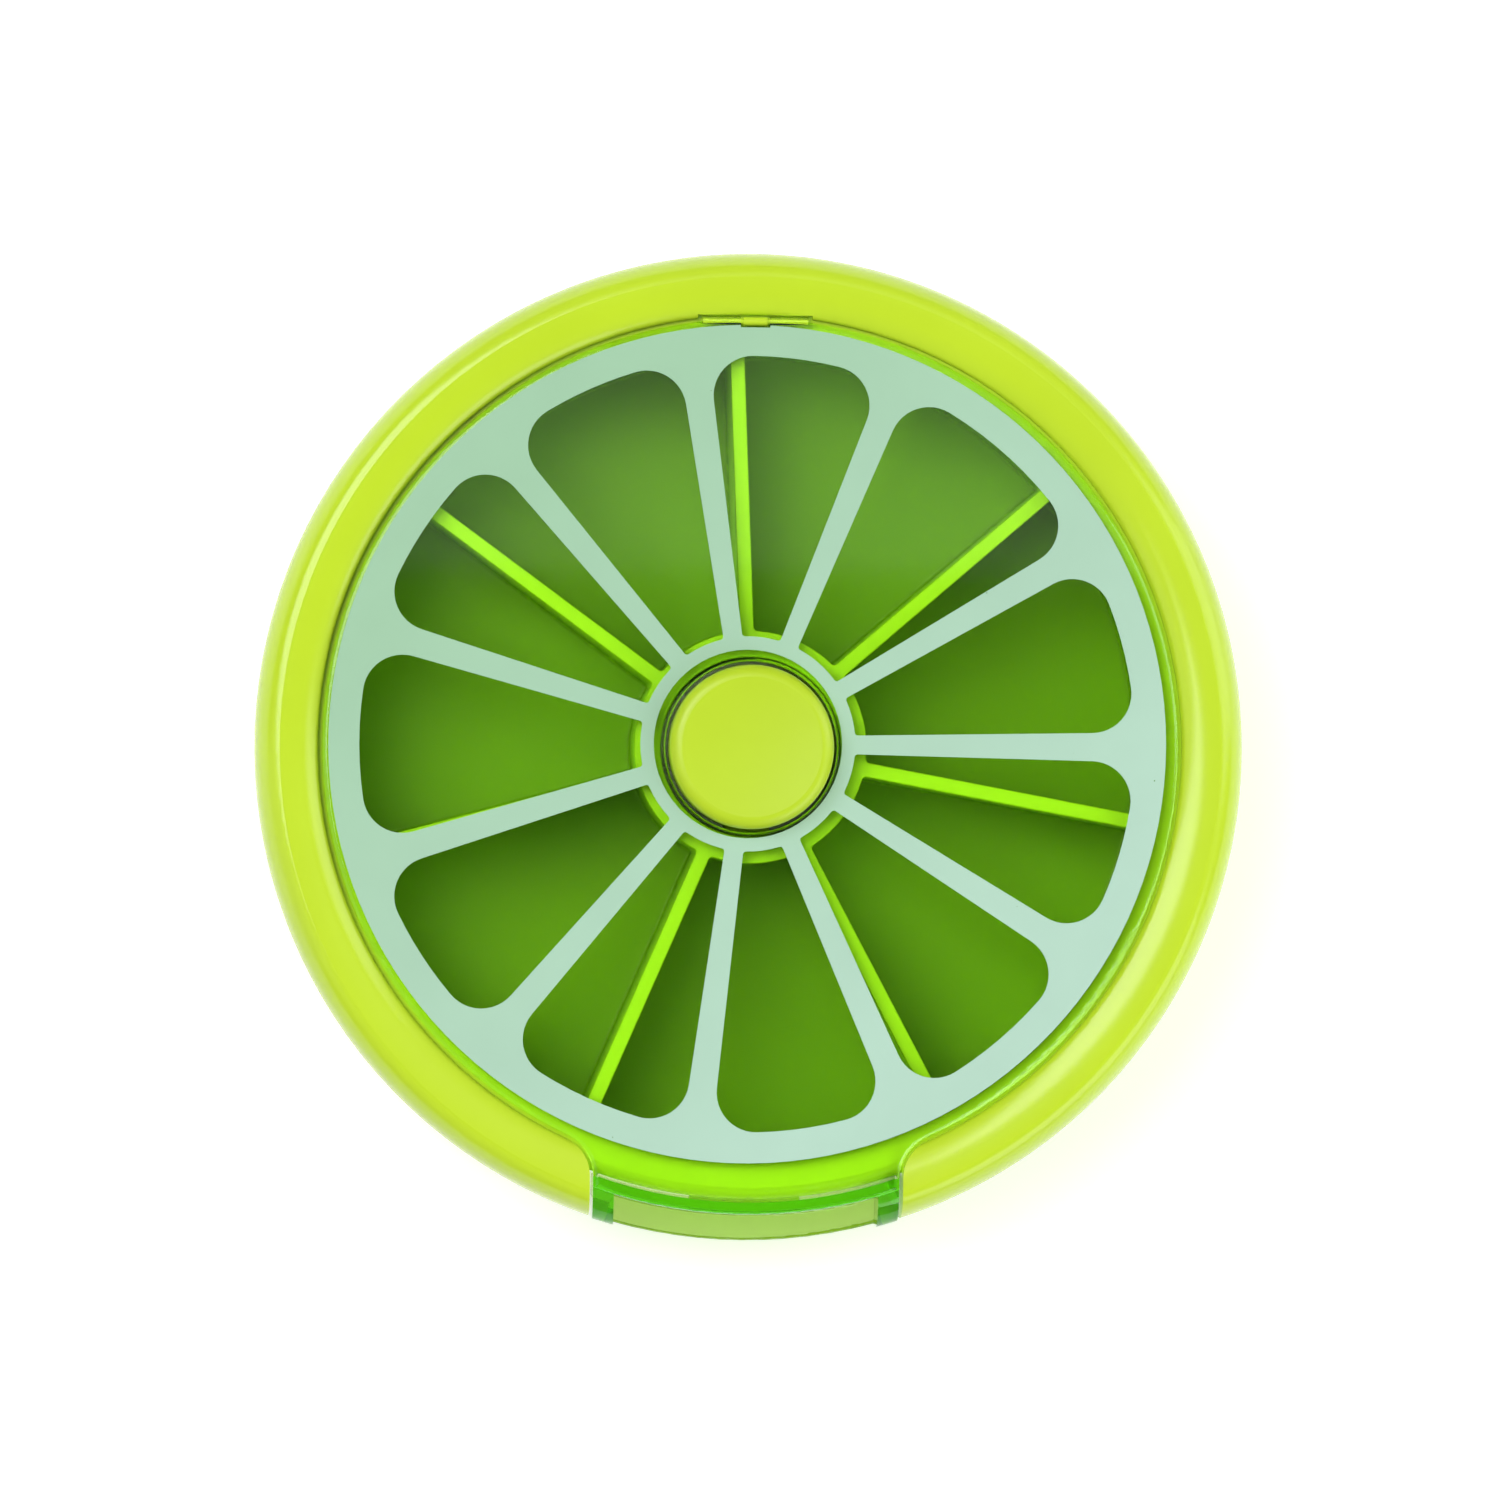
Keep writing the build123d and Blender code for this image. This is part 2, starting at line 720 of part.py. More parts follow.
def slice_window(start, end):
    """Plan of one window of the printed slice, between two spokes at these angles."""
    rim_radius = print_radius - print_band
    root = math.degrees(spoke_root_half / print_hub_radius)
    tip = math.degrees(spoke_tip_half / rim_radius)
    middle = (start + end) / 2
    corners = (
        polar(print_hub_radius, start + root),
        polar(rim_radius, start + tip),
        polar(rim_radius, end - tip),
        polar(print_hub_radius, end - root),
    )
    with BuildSketch() as window:
        with BuildLine():
            Line(corners[0], corners[1])
            ThreePointArc(corners[1], polar(rim_radius, middle), corners[2])
            Line(corners[2], corners[3])
            ThreePointArc(corners[3], polar(print_hub_radius, middle), corners[0])
        make_face()
        outer_corners = window.vertices().filter_by(lambda v: math.hypot(v.X, v.Y) > print_radius / 2)
        fillet(outer_corners, window_corner)
        root_corners = window.vertices().filter_by(lambda v: math.hypot(v.X, v.Y) < print_hub_radius + 0.1)
        fillet(root_corners, window_root_corner)
    return window.sketch


# Layer of ink on the lid: a cut fruit, with one window for each slice
with BuildPart() as slice_print:
    with BuildSketch(Plane.XY.offset(lid_top)) as slice_plan:
        with Locations((print_shift_x, print_shift_y)):
            Circle(print_radius)
            Circle(print_hole_radius, mode=Mode.SUBTRACT)
        for spoke in range(len(spoke_angles)):
            spoke_after = spoke_angles[(spoke + 1) % len(spoke_angles)]
            if spoke_after < spoke_angles[spoke]:
                spoke_after += 360
            with Locations((print_shift_x, print_shift_y)):
                add(slice_window(spoke_angles[spoke], spoke_after), mode=Mode.SUBTRACT)
        with Locations((0, hinge_y - knuckle_radius - pin_running_gap)):
            Rectangle(
                2 * (knuckle_start + pin_running_gap), case_radius, align=(Align.CENTER, Align.MIN),
                mode=Mode.SUBTRACT,
            )
    extrude(amount=print_thickness)
slice_print.part.label = "slice_print"
export_step(slice_print.part, "parts/slice_print.step")

# Tray of cells, with the ratchet's teeth inside its hub and the detent's grooves under its floor
with BuildPart() as tray:
    with BuildSketch(Plane.XY.offset(tray_bottom)) as tray_plan:
        Circle(tray_radius)
    extrude(amount=tray_top - tray_bottom)
    with BuildSketch(Plane.XY.offset(cell_bottom)) as cell_plan:
        Circle(cell_radius)
        Circle(hub_radius, mode=Mode.SUBTRACT)
        with PolarLocations(0, cell_count, start_angle=divider_angle):
            Rectangle(tray_radius, divider_width, align=(Align.MIN, Align.CENTER), mode=Mode.SUBTRACT)
        fillet(cell_plan.vertices(), cell_corner)
    extrude(amount=case_height, mode=Mode.SUBTRACT)
    cell_floor_edges = tray.edges().filter_by_position(Axis.Z, cell_bottom - 0.01, cell_bottom + 0.01)
    fillet(cell_floor_edges, cell_scoop)
    # hub: open from the top down to its web, and from below up to the web
    with BuildSketch(Plane.XY.offset(web_top)) as hub_top_bore:
        Circle(hub_mouth_radius)
    extrude(amount=case_height, mode=Mode.SUBTRACT)
    top_edges = tray.edges().filter_by_position(Axis.Z, tray_top - 0.01, tray_top + 0.01)
    fillet(top_edges, tray_edge_round)
    with BuildSketch(Plane.XY.offset(tray_bottom)) as hub_low_bore:
        Circle(hub_bore_radius)
    extrude(amount=web_height - tray_bottom, mode=Mode.SUBTRACT)
    with BuildSketch(Plane.XY.offset(floor_thickness + running_gap)) as foot_plan:
        Circle(hub_radius + running_gap)
    extrude(amount=tray_bottom - floor_thickness)
    with BuildSketch(Plane.XY.offset(floor_thickness)) as bearing_bore:
        Circle(bearing_radius + running_gap)
    extrude(amount=bearing_height + hook_gap, mode=Mode.SUBTRACT)
    with BuildSketch(Plane.XY.offset(tray_bottom)) as sleeve_bore:
        Circle(sleeve_radius + running_gap)
    extrude(amount=case_height, mode=Mode.SUBTRACT)
    with BuildSketch(Plane.XY.offset(web_height - tooth_height)) as tooth_plan:
        tooth_root = (hub_bore_radius + hub_radius) / 2
        with PolarLocations(0, tooth_count, start_angle=0):
            Polygon(
                polar(tooth_radius, 0),
                polar(tooth_root, 0),
                polar(tooth_root, tooth_pitch * tooth_fill),
                align=None,
            )
    extrude(amount=tooth_height + web_thickness / 2)
    for groove in range(cell_count):
        groove_plane = facing_plane(detent_radius - leaf_width, groove * cell_pitch)
        with BuildSketch(groove_plane) as groove_section:
            Polygon(
                (-detent_width / 2, tray_bottom),
                (detent_width / 2, tray_bottom),
                (0, tray_bottom + detent_depth),
                align=None,
            )
        extrude(amount=2 * leaf_width, mode=Mode.SUBTRACT)
tray.part.label = "tray"
export_step(tray.part, "parts/tray.step")

# Path of one drive slot: a helix that turns one cell's pitch over the button's stroke
slot_middle = sleeve_bore_radius + sleeve_wall / 2
slot_low = lug_height - press_stroke
slot_rise = Vector(0, 2 * math.pi * slot_middle, slot_pitch).normalized()
slot_start = Plane(origin=(slot_middle, 0, slot_low), x_dir=(1, 0, 0), z_dir=slot_rise)
with BuildPart() as drive_slot_cut:
    with BuildLine() as slot_path:
        Helix(pitch=slot_pitch, height=press_stroke, radius=slot_middle, center=(0, 0, slot_low))
    with BuildSketch(slot_start) as slot_section:
        Rectangle(2 * sleeve_wall, 2 * slot_radius)
    sweep(is_frenet=True)
    for slot_end in range(2):
        end_plane = facing_plane(slot_middle - sleeve_wall, slot_end * cell_pitch)
        with BuildSketch(end_plane) as end_section:
            with Locations((0, slot_low + slot_end * press_stroke)):
                Circle(slot_radius)
        extrude(amount=2 * sleeve_wall)
    # the lug comes in from the top through a straight channel
    with BuildSketch(facing_plane(slot_middle - sleeve_wall, cell_pitch)) as channel_section:
        with Locations((0, lug_height)):
            Rectangle(2 * slot_radius, sleeve_top, align=(Align.CENTER, Align.MIN))
    extrude(amount=2 * sleeve_wall)

# Drive hub: the sleeve that the button's lugs turn
with BuildPart() as drive_hub:
    with BuildSketch(Plane.XZ) as hub_section:
        with BuildLine():
            Polyline(
                (sleeve_bore_radius, flange_bottom),
                (flange_radius, flange_bottom),
                (flange_radius, flange_top),
                (sleeve_radius, flange_top),
                (sleeve_radius, clip_bottom - clip_gap),
                (groove_radius, clip_bottom - clip_gap),
                (groove_radius, clip_top + clip_gap),
                (sleeve_radius, clip_top + clip_gap),
                (sleeve_radius, sleeve_top),
                (sleeve_bore_radius, sleeve_top),
                close=True,
            )
        make_face()
    revolve(axis=Axis.Z)
    with PolarLocations(0, pawl_count, start_angle=-cell_pitch):
        add(drive_slot_cut.part, mode=Mode.SUBTRACT)
drive_hub.part.label = "drive_hub"
export_step(drive_hub.part, "parts/drive_hub.step")

# Pawl ring on the drive hub: each arm's tip rests against a tooth of the tray
pawl_bottom = web_height - tooth_height + hook_gap
pawl_tip = hub_bore_radius - pawl_tip_gap
pawl_root = sleeve_radius + pawl_wall
with BuildPart() as pawl_ring:
    with BuildSketch(Plane.XY.offset(pawl_bottom)) as pawl_plan:
        Circle(pawl_root)
        for pawl in range(pawl_count):
            tip_angle = pawl * 360 / pawl_count - pawl_lag
            bend = (tooth_radius - pawl_tip_gap, tip_angle - tooth_pitch)
            with BuildLine():
                Line(polar(pawl_tip - pawl_tip_wall, tip_angle), polar(pawl_tip, tip_angle))
                root_angle = tip_angle - pawl_reach
                ThreePointArc(polar(pawl_tip, tip_angle), polar(*bend), polar(pawl_root, root_angle))
                Line(polar(pawl_root, root_angle), polar(pawl_root - pawl_wall, root_angle))
                ThreePointArc(
                    polar(pawl_root - pawl_wall, root_angle),
                    polar(bend[0] - pawl_wall, bend[1]),
                    polar(pawl_tip - pawl_tip_wall, tip_angle),
                )
            make_face()
        Circle(sleeve_radius - pawl_press, mode=Mode.SUBTRACT)
    extrude(amount=pawl_height)
pawl_ring.part.label = "pawl_ring"
export_step(pawl_ring.part, "parts/pawl_ring.step")

# Open ring in the drive hub's groove, over the tray's web
with BuildPart() as retaining_clip:
    with BuildSketch(Plane.XY.offset(clip_bottom)) as clip_plan:
        clip_inner = groove_radius + clip_gap
        clip_mouth = 2 * clip_inner * math.sin(math.radians(clip_opening / 2))
        Circle(clip_inner + clip_width)
        Circle(clip_inner, mode=Mode.SUBTRACT)
        with Locations((0, -clip_inner - clip_width)):
            Rectangle(clip_mouth, 2 * clip_width + clip_inner, mode=Mode.SUBTRACT)
    extrude(amount=clip_thickness)
retaining_clip.part.label = "retaining_clip"
export_step(retaining_clip.part, "parts/retaining_clip.step")

# Stem of the button: slides on the keyed post, with a lug for each drive slot
with BuildPart() as button_stem:
    with BuildSketch(Plane.XZ) as stem_section:
        with BuildLine():
            Polyline(
                (stem_bore_radius, stem_bottom),
                (stem_radius, stem_bottom),
                (stem_radius, stem_top - stem_flange),
                (cap_bore_radius + stem_press, stem_top - stem_flange),
                (cap_bore_radius + stem_press, stem_top),
                (stem_bore_radius, stem_top),
                (stem_bore_radius, guide_top),
                (guide_bore_radius, guide_top),
                (guide_bore_radius, guide_bottom),
                (stem_bore_radius, guide_bottom),
                close=True,
            )
        make_face()
    revolve(axis=Axis.Z)
    with BuildSketch(Plane.XY.offset(guide_bottom)) as key_slots:
        Rectangle(2 * (post_radius + key_reach + key_gap), key_width + 2 * key_gap)
    extrude(amount=guide_length, mode=Mode.SUBTRACT)
    for lug in range(pawl_count):
        with BuildSketch(facing_plane(stem_radius - stem_wall / 2, lug * 360 / pawl_count)) as lug_section:
            with Locations((0, lug_height)):
                Circle(lug_radius)
        extrude(amount=lug_length + stem_wall / 2)
button_stem.part.label = "button_stem"
export_step(button_stem.part, "parts/button_stem.step")

# Button cap, slightly dished, with a rounded rim
with BuildPart() as button_cap:
    with BuildSketch(Plane.XZ) as cap_section:
        with BuildLine():
            cap_bottom = button_top - button_skirt
            dish_radius = button_radius - button_round
            Polyline(
                (0, stem_top),
                (cap_bore_radius, stem_top),
                (cap_bore_radius, cap_bottom),
                (button_radius, cap_bottom),
                (button_radius, button_top - button_round),
            )
            RadiusArc((button_radius, button_top - button_round), (dish_radius, button_top), -button_round)
            dish_ball = (dish_radius ** 2 + button_dish ** 2) / (2 * button_dish)
            dish_half_angle = math.asin(dish_radius / dish_ball) / 2
            dish_middle = (
                dish_ball * math.sin(dish_half_angle),
                button_top - button_dish + dish_ball * (1 - math.cos(dish_half_angle)),
            )
            ThreePointArc((dish_radius, button_top), dish_middle, (0, button_top - button_dish))
            Line((0, button_top - button_dish), (0, stem_top))
        make_face()
    revolve(axis=Axis.Z)
button_cap.part.label = "button_cap"
export_step(button_cap.part, "parts/button_cap.step")

# Stop washer on the post, over the stem's guide, and its screw
with BuildPart() as stop_washer:
    with BuildSketch(Plane.XY.offset(washer_bottom)) as washer_plan:
        Circle(washer_radius)
        Circle(screw_radius + running_gap, mode=Mode.SUBTRACT)
    extrude(amount=washer_thickness)
stop_washer.part.label = "stop_washer"
export_step(stop_washer.part, "parts/stop_washer.step")
with BuildPart() as stop_screw:
    with Locations((0, 0, washer_top)):
        add(screw(stop_screw_length))
stop_screw.part.label = "stop_screw"
export_step(stop_screw.part, "parts/stop_screw.step")

# Return spring round the post, between the floor and the stem's guide: half turns of two arcs each
spring_low = floor_thickness + wire_radius + stop_gap
spring_high = guide_bottom - wire_radius - stop_gap
spring_pitch = (spring_high - spring_low) / spring_turns


def coil_point(turns):
    """Point of the coil's centre line after this many turns."""
    x, y = polar(spring_radius, 360 * turns)
    return Vector(x, y, spring_low + spring_pitch * turns)


def coil_heading(turns):
    """Direction of the coil's centre line after this many turns."""
    x, y = polar(2 * math.pi * spring_radius, 360 * turns + 90)
    return Vector(x, y, spring_pitch).normalized()


def arc_joint(start, heading, end, end_heading):
    """Where two arcs meet that leave and reach these points along these headings."""
    across = end - start
    spread = 2 * (1 - heading.dot(end_heading))
    along = across.dot(heading + end_heading)
    reach = (math.sqrt(along * along + spread * across.dot(across)) - along) / spread
    return (start + end + (heading - end_heading) * reach) / 2


with BuildPart() as return_spring:
    with BuildLine() as coil_path:
        for half in range(2 * spring_turns):
            here, there = coil_point(half / 2), coil_point((half + 1) / 2)
            leaving, arriving = coil_heading(half / 2), coil_heading((half + 1) / 2)
            joint = arc_joint(here, leaving, there, arriving)
            first_arc = TangentArc(here, joint, tangent=leaving)
            TangentArc(joint, there, tangent=first_arc % 1)
    with BuildSketch(Plane(origin=coil_point(0), z_dir=coil_heading(0))) as wire_section:
        Circle(wire_radius)
    sweep()
return_spring.part.label = "return_spring"
export_step(return_spring.part, "parts/return_spring.step")
coil_length = sum(arc.length for arc in coil_path.edges())
coil_volume = math.pi * wire_radius ** 2 * coil_length
one_turn_on = [(coil_point(k / 24 + 1) - coil_point(k / 24)).length for k in range(24 * (spring_turns - 1))]
print("return spring: least gap between turns", round(min(one_turn_on) - 2 * wire_radius, 2), "mm")
print("return spring: volume", round(return_spring.part.volume, 2), "of", round(coil_volume, 2), "mm3")

# Leaf spring of the detent: staked at one end, its crown rests in a groove under the tray
with BuildPart() as detent_spring:
    with BuildSketch(Plane.YZ.offset(detent_radius - leaf_width / 2)) as leaf_section:
        with BuildLine() as leaf_line:
            FilletPolyline(
                (-leaf_run - leaf_foot, floor_thickness),
                (-leaf_run, floor_thickness),
                (0, tray_bottom + leaf_lift - leaf_thickness),
                (leaf_end, floor_thickness),
                (leaf_end + 2 * leaf_bend, floor_thickness + leaf_bend),
                radius=leaf_bend,
            )
            offset(amount=leaf_thickness, side=Side.LEFT)
        make_face()
    extrude(amount=leaf_width)
    with BuildSketch(Plane.XY.offset(floor_thickness)) as stake_holes:
        with Locations((detent_radius, -stake_y + leaf_foot / 4), (detent_radius, -stake_y - leaf_foot / 4)):
            Circle(stake_radius + running_gap)
    extrude(amount=2 * leaf_thickness, mode=Mode.SUBTRACT)
detent_spring.part.label = "detent_spring"
export_step(detent_spring.part, "parts/detent_spring.step")
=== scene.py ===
# %% [markdown]
# # A weekly pill organizer, seen from straight above
# This lesson dresses a packed mechanical model in Blender. The model is a round lime case with a
# clear green lid, a tray of seven cells and a push button in the middle. Each cell below says what
# a piece is on the real object, how it could be made, and why this way was chosen.

# %% Load the model
import math

import bmesh
import bpy
from mathutils import Matrix, Vector


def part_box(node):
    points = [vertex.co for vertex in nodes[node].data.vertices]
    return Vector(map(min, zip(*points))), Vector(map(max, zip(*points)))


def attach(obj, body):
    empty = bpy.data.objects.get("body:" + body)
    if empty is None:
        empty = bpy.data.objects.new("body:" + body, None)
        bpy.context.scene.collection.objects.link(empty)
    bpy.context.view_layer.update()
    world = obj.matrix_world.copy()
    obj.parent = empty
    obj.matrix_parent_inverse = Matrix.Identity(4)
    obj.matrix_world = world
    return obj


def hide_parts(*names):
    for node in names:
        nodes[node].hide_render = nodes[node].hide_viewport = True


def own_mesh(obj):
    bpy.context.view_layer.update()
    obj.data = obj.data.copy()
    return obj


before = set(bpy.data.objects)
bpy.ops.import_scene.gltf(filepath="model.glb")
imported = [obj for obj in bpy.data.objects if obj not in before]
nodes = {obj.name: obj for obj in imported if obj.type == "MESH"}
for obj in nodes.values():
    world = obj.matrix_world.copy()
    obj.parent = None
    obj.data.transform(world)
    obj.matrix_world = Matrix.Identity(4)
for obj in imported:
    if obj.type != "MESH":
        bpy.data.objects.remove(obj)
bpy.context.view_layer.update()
print("nodes:", sorted(nodes))

# %% [markdown]
# ## The camera
# The photograph looks straight down through a long lens, so that the case's outline is a true
# circle. Higher pieces sit a few pixels right of lower ones, which tells that the camera leans a
# little to the left. A long distance with a long lens keeps the sides of the cells from showing.
# The hinge isn't quite at the top of the picture: the camera is turned a little on its own axis.

# %% Where the camera stands
IMAGE_PIXELS = 1500
CASE_RADIUS = 0.045
CASE_RADIUS_PIXELS = 493.3
OUTLINE_CENTRE_PIXELS = (748.24, 747.86)
OUTLINE_HEIGHT = 0.014
CAMERA_DISTANCE = 0.9
LEAN_LEFT = math.radians(2.6)
LEAN_DOWN = math.radians(0.7)
CAMERA_TURN = math.radians(0.6)

metres_per_pixel = CASE_RADIUS / CASE_RADIUS_PIXELS
target = Vector((
    (IMAGE_PIXELS / 2 - OUTLINE_CENTRE_PIXELS[0]) * metres_per_pixel,
    (OUTLINE_CENTRE_PIXELS[1] - IMAGE_PIXELS / 2) * metres_per_pixel,
    OUTLINE_HEIGHT,
))
towards_camera = Vector((-math.tan(LEAN_LEFT), -math.tan(LEAN_DOWN), 1)).normalized()
print("the camera looks at:", [round(1000 * place, 2) for place in target], "mm")

# %% Camera
SENSOR_WIDTH = 36
FARTHEST_SEEN = 10

camera_data = bpy.data.cameras.new("camera")
camera_data.sensor_width = SENSOR_WIDTH
camera_data.lens = SENSOR_WIDTH * CAMERA_DISTANCE / (IMAGE_PIXELS * metres_per_pixel)
camera_data.clip_end = FARTHEST_SEEN
camera = bpy.data.objects.new("camera", camera_data)
bpy.context.scene.collection.objects.link(camera)
camera.location = target + towards_camera * CAMERA_DISTANCE
picture_up = Vector((-math.sin(CAMERA_TURN), math.cos(CAMERA_TURN), 0))
camera_right = picture_up.cross(towards_camera).normalized()
camera_up = towards_camera.cross(camera_right)
camera.rotation_euler = Matrix((camera_right, camera_up, towards_camera)).transposed().to_euler()
bpy.context.scene.camera = camera
print("lens:", round(camera_data.lens, 1), "mm")

# %% [markdown]
# ## Small helpers for nodes
# A material is a tree of nodes, and most of its steps are one of a few: a sum, a range that is
# spread onto another range, and a blend of two colours. A helper for each keeps the trees below
# short. A plain value is set on the socket, and another node's output is linked to it.

# %% Node helpers
def put(tree, socket, value):
    """Links a node's output to this socket, or sets a plain value on it."""
    if isinstance(value, bpy.types.NodeSocket):
        tree.links.new(value, socket)
    else:
        socket.default_value = value


def calculated(tree, operation, first, second):
    """Output of a Math node with these two values."""
    node = tree.nodes.new("ShaderNodeMath")
    node.operation = operation
    put(tree, node.inputs[0], first)
    put(tree, node.inputs[1], second)
    return node.outputs[0]


def spread(tree, value, source, result=(0, 1), interpolation="LINEAR"):
    """Output of a Map Range node that spreads the source's range onto the result's."""
    node = tree.nodes.new("ShaderNodeMapRange")
    node.interpolation_type = interpolation
    put(tree, node.inputs["Value"], value)
    put(tree, node.inputs["From Min"], source[0])
    put(tree, node.inputs["From Max"], source[1])
    put(tree, node.inputs["To Min"], result[0])
    put(tree, node.inputs["To Max"], result[1])
    return node.outputs[0]


def blended(tree, share, first, second):
    """Output of a Mix node between two colours."""
    node = tree.nodes.new("ShaderNodeMix")
    node.data_type = "RGBA"
    put(tree, node.inputs["Factor"], share)
    put(tree, node.inputs["A"], first)
    put(tree, node.inputs["B"], second)
    return node.outputs["Result"]


# %% Coordinate helpers
def object_place(tree):
    """Place on the piece itself, so that a pattern stays on it in every view and pose."""
    return tree.nodes.new("ShaderNodeTexCoord").outputs["Object"]


def object_height(tree):
    """Height on the piece, in metres."""
    split = tree.nodes.new("ShaderNodeSeparateXYZ")
    tree.links.new(object_place(tree), split.inputs[0])
    return split.outputs["Z"]


def noise(tree, place, scale, detail):
    """Soft noise between 0 and 1."""
    node = tree.nodes.new("ShaderNodeTexNoise")
    node.inputs["Scale"].default_value = scale
    node.inputs["Detail"].default_value = detail
    tree.links.new(place, node.inputs["Vector"])
    return node


# %% [markdown]
# ## The room
# A room of soft light surrounds the object. Straight above, round the camera, the room is dark, or
# the flat lid would look milky. The world's light is set by its direction for that.

# %% World
ROOM_LIGHT = 0.2
DARK_ABOVE = 0.015
DARK_ABOVE_COSINES = (0.86, 0.97)

world = bpy.data.worlds.new("studio")
bpy.context.scene.world = world
world.use_nodes = True
room_tree = world.node_tree
background = room_tree.nodes["Background"]
background.inputs["Color"].default_value = (1, 1, 1, 1)
direction = room_tree.nodes.new("ShaderNodeTexCoord")
steepness = room_tree.nodes.new("ShaderNodeSeparateXYZ")
room_tree.links.new(direction.outputs["Generated"], steepness.inputs[0])
room_level = spread(room_tree, steepness.outputs["Z"], DARK_ABOVE_COSINES, (ROOM_LIGHT, DARK_ABOVE))
room_tree.links.new(room_level, background.inputs["Strength"])
print("the room's light:", ROOM_LIGHT, "and above the lid:", DARK_ABOVE)

# %% [markdown]
# ## The floor
# The floor is white: a camera ray sees it brighter than it is, so that the ground is a clean white
# while the light on the object stays plain. Rays that come through the clear lid see less of that,
# because there the floor lies in the lid's own green shade. The floor lies a hair below the case,
# so that the two faces don't flicker into each other when they are seen from below.

# %% Floor
FLOOR_SIZE = 6.0
FLOOR_DROP = 0.00005
FLOOR_COLOUR = (0.86, 0.86, 0.86, 1)
FLOOR_ROUGHNESS = 0.9
FLOOR_GLOW = 0.45
GLOW_THROUGH_LID = 0.3


def seen_ray(tree):
    """Value that is 1 for rays that see the floor straight or by gloss, and less through the lid."""
    path = tree.nodes.new("ShaderNodeLightPath")
    through = calculated(tree, "MULTIPLY", path.outputs["Is Transmission Ray"], GLOW_THROUGH_LID)
    gloss = calculated(tree, "MAXIMUM", path.outputs["Is Glossy Ray"], through)
    return calculated(tree, "MAXIMUM", path.outputs["Is Camera Ray"], gloss)


floor_mesh = bpy.data.meshes.new("floor")
floor_bm = bmesh.new()
bmesh.ops.create_grid(floor_bm, x_segments=1, y_segments=1, size=FLOOR_SIZE / 2)
floor_bm.to_mesh(floor_mesh)
floor_bm.free()
floor = bpy.data.objects.new("floor", floor_mesh)
floor.location.z = -FLOOR_DROP
bpy.context.scene.collection.objects.link(floor)
floor_paint = bpy.data.materials.new("white_floor")
floor_paint.use_nodes = True
floor_tree = floor_paint.node_tree
floor_shader = floor_tree.nodes["Principled BSDF"]
floor_shader.inputs["Base Color"].default_value = FLOOR_COLOUR
floor_shader.inputs["Roughness"].default_value = FLOOR_ROUGHNESS
floor_shader.inputs["Emission Color"].default_value = (1, 1, 1, 1)
floor_glow = calculated(floor_tree, "MULTIPLY", seen_ray(floor_tree), FLOOR_GLOW)
floor_tree.links.new(floor_glow, floor_shader.inputs["Emission Strength"])
floor_mesh.materials.append(floor_paint)
print("floor:", FLOOR_SIZE, "m wide")

# %% [markdown]
# ## The panels
# A product photograph of glossy plastic is lit by large soft panels, whose reflections draw the
# shapes. One panel stands high behind the hinge, and its lower edge shows in the flat lid. One at
# the upper left shines in the slope of the rim across from it, and one at the lower right lights
# the rim there from outside. Two strips stand at the sides.

# %% Panels
def stage_panel(name, place, aim, width, length, radiance):
    """Soft panel lamp at this place, turned to this point, with this brightness of its face."""
    lamp_data = bpy.data.lights.new(name, "AREA")
    lamp_data.shape = "RECTANGLE"
    lamp_data.size = width
    lamp_data.size_y = length
    lamp_data.energy = radiance * math.pi * width * length
    lamp = bpy.data.objects.new(name, lamp_data)
    bpy.context.scene.collection.objects.link(lamp)
    lamp.location = place
    lamp.rotation_euler = (Vector(aim) - Vector(place)).to_track_quat("-Z", "Y").to_euler()
    print(name, "power:", round(lamp_data.energy, 2), "W")


middle = (0, 0, 0.015)
below_high_panel = (-0.35, 0.515, 0)
stage_panel("high_panel", (-0.35, 0.515, 1.3), below_high_panel, width=1.7, length=0.92, radiance=0.5)
stage_panel("gloss_panel", (-0.46, 0.27, 0.84), middle, width=0.5, length=0.8, radiance=4.6)
stage_panel("near_panel", (0.47, -0.45, 0.34), middle, width=0.6, length=0.5, radiance=2.2)
stage_panel("right_strip", (0.9, 0.25, 0.5), middle, width=0.5, length=1.2, radiance=2.2)
stage_panel("left_strip", (-0.85, -0.2, 0.45), middle, width=0.5, length=1.2, radiance=0.55)

# %% [markdown]
# ## The skin of moulded plastic
# A face straight from the mould isn't perfectly flat: it has a faint orange peel, and its colour
# and its gloss change a little from place to place. That is one shader group with named sockets,
# which every material here uses with its own values, because only the strength differs.

# %% A group for the skin
FLOW_SCALE = 90
FLOW_DETAIL = 3
FLOW_ROUGHNESS = 0.55
FLOW_RANGE = (0.3, 0.7)
GLOSS_SCALE = 260
GLOSS_DETAIL = 2
PEEL_SCALE = 900
PEEL_DETAIL = 1
PEEL_DEPTH = 0.00002


def group_socket(tree, name, kind, direction, value=None):
    """Socket of a shader group, with its default value."""
    socket = tree.interface.new_socket(name=name, in_out=direction, socket_type=kind)
    if value is not None:
        socket.default_value = value
    return socket


